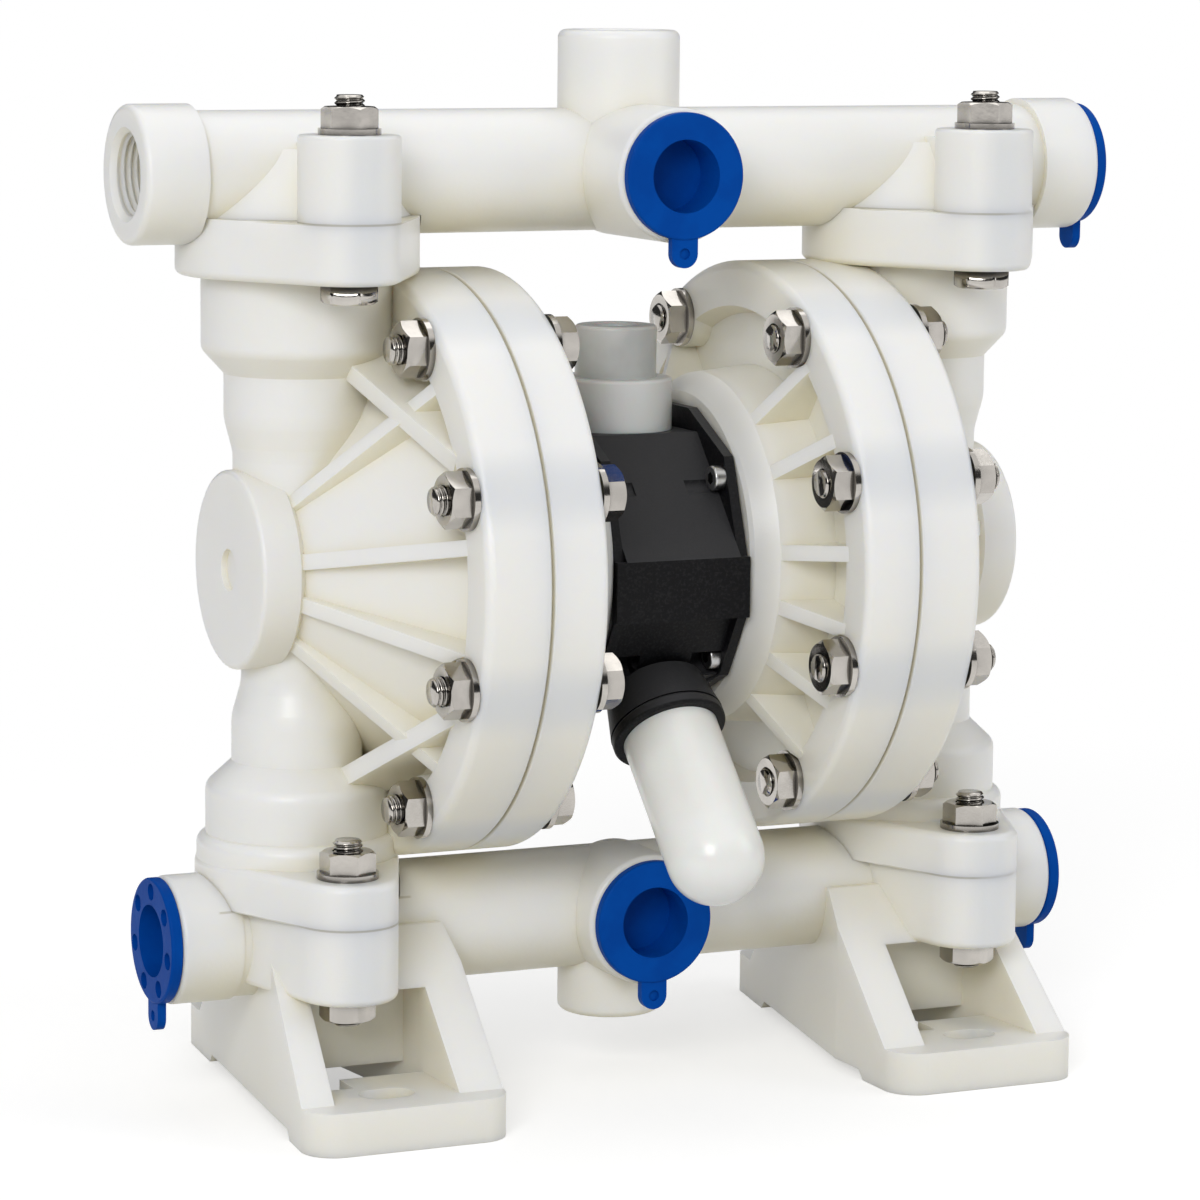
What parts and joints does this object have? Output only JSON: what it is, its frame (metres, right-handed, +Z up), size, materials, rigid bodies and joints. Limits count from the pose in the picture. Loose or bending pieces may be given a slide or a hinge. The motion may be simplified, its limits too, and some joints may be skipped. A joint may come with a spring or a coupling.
{
  "type": "air operated diaphragm pump",
  "caption": "Air driven double diaphragm pump with ball valve chambers, pipe manifolds on slotted feet, a black centre valve block, a muffler and push-in port plugs.",
  "frame": {"origin": "centre of the four fixing slots, in the plane of the soles", "axes": "+X along the diaphragm shaft to the right, -Y to the front with the muffler, +Z up"},
  "size_m": [0.2859, 0.158, 0.2876],
  "materials": {
    "polypropylene": "semi translucent, satin",
    "valve_block": "fine grained black",
    "gasket_rubber": "matte",
    "diaphragm_rubber": "matte",
    "steel_bright": "bright",
    "screw_steel": "satin",
    "clamp_plate": "satin",
    "bush_plastic": "satin",
    "seal_rubber": "matte",
    "valve_metal": "satin",
    "adapter_plastic": "semi translucent, satin",
    "muffler_plastic": "glossy",
    "seat_plastic": "satin",
    "ball_plastic": "satin",
    "plug_blue": "satin"
  },
  "bodies": {
    "pump": {"outlet_manifold": "polypropylene", "inlet_manifold": "polypropylene", "left_fluid_cover": "polypropylene", "right_fluid_cover": "polypropylene", "left_air_cover": "polypropylene", "right_air_cover": "polypropylene", "centre_block": "valve_block", "left_block_gasket": "gasket_rubber", "right_block_gasket": "gasket_rubber", "left_diaphragm": "diaphragm_rubber", "right_diaphragm": "diaphragm_rubber", "cover_studs": "steel_bright", "cover_nuts": "steel_bright", "cover_washers": "steel_bright", "outlet_bolts": "steel_bright", "inlet_studs": "steel_bright", "manifold_nuts": "steel_bright", "manifold_washers": "steel_bright", "block_screws": "screw_steel", "shaft_bushes": "bush_plastic", "shaft_seals": "seal_rubber", "seat_seals": "seal_rubber", "valve_sleeve": "valve_metal", "valve_caps": "valve_metal", "air_inlet_adapter": "adapter_plastic", "muffler": "muffler_plastic", "left_outlet_seat": "seat_plastic", "right_outlet_seat": "seat_plastic", "left_inlet_seat": "seat_plastic", "right_inlet_seat": "seat_plastic"},
    "shaft_group": {"main_shaft": "screw_steel", "left_inner_plate": "clamp_plate", "right_inner_plate": "clamp_plate", "left_outer_plate": "clamp_plate", "right_outer_plate": "clamp_plate"},
    "trip_rod_body": {"trip_rod": "screw_steel"},
    "spool_body": {"valve_spool": "valve_metal"},
    "left_outlet_ball_body": {"left_outlet_ball": "ball_plastic"},
    "right_outlet_ball_body": {"right_outlet_ball": "ball_plastic"},
    "left_inlet_ball_body": {"left_inlet_ball": "ball_plastic"},
    "right_inlet_ball_body": {"right_inlet_ball": "ball_plastic"},
    "outlet_front_plug_body": {"outlet_front_plug": "plug_blue"},
    "inlet_front_plug_body": {"inlet_front_plug": "plug_blue"},
    "outlet_right_plug_body": {"outlet_right_plug": "plug_blue"},
    "inlet_right_plug_body": {"inlet_right_plug": "plug_blue"},
    "inlet_left_plug_body": {"inlet_left_plug": "plug_blue"}
  },
  "joints": [
    {"name": "shaft_slide", "type": "slide", "parent": "pump", "child": "shaft_group", "axis": [1, 0, 0], "range_m": [-0.007, 0.007], "deforming": ["left_diaphragm", "right_diaphragm"]},
    {"name": "trip_rod_slide", "type": "slide", "parent": "pump", "child": "trip_rod_body", "axis": [1, 0, 0], "range_m": [-0.003, 0.003]},
    {"name": "spool_slide", "type": "slide", "parent": "pump", "child": "spool_body", "axis": [1, 0, 0], "range_m": [-0.004, 0.004]},
    {"name": "left_outlet_ball_lift", "type": "slide", "parent": "pump", "child": "left_outlet_ball_body", "axis": [0, 0, 1], "range_m": [0, 0.006]},
    {"name": "right_outlet_ball_lift", "type": "slide", "parent": "pump", "child": "right_outlet_ball_body", "axis": [0, 0, 1], "range_m": [0, 0.006]},
    {"name": "left_inlet_ball_lift", "type": "slide", "parent": "pump", "child": "left_inlet_ball_body", "axis": [0, 0, 1], "range_m": [0, 0.006]},
    {"name": "right_inlet_ball_lift", "type": "slide", "parent": "pump", "child": "right_inlet_ball_body", "axis": [0, 0, 1], "range_m": [0, 0.006]},
    {"name": "outlet_front_plug_pull", "type": "slide", "parent": "pump", "child": "outlet_front_plug_body", "axis": [0, -1, 0], "range_m": [0, 0.015]},
    {"name": "inlet_front_plug_pull", "type": "slide", "parent": "pump", "child": "inlet_front_plug_body", "axis": [0, -1, 0], "range_m": [0, 0.015]},
    {"name": "outlet_right_plug_pull", "type": "slide", "parent": "pump", "child": "outlet_right_plug_body", "axis": [1, 0, 0], "range_m": [0, 0.015]},
    {"name": "inlet_right_plug_pull", "type": "slide", "parent": "pump", "child": "inlet_right_plug_body", "axis": [1, 0, 0], "range_m": [0, 0.015]},
    {"name": "inlet_left_plug_pull", "type": "slide", "parent": "pump", "child": "inlet_left_plug_body", "axis": [-1, 0, 0], "range_m": [0, 0.015]}
  ],
  "couplings": [
    {"joint": "trip_rod_slide", "follows": "shaft_slide", "ratio": 0.425}
  ]
}
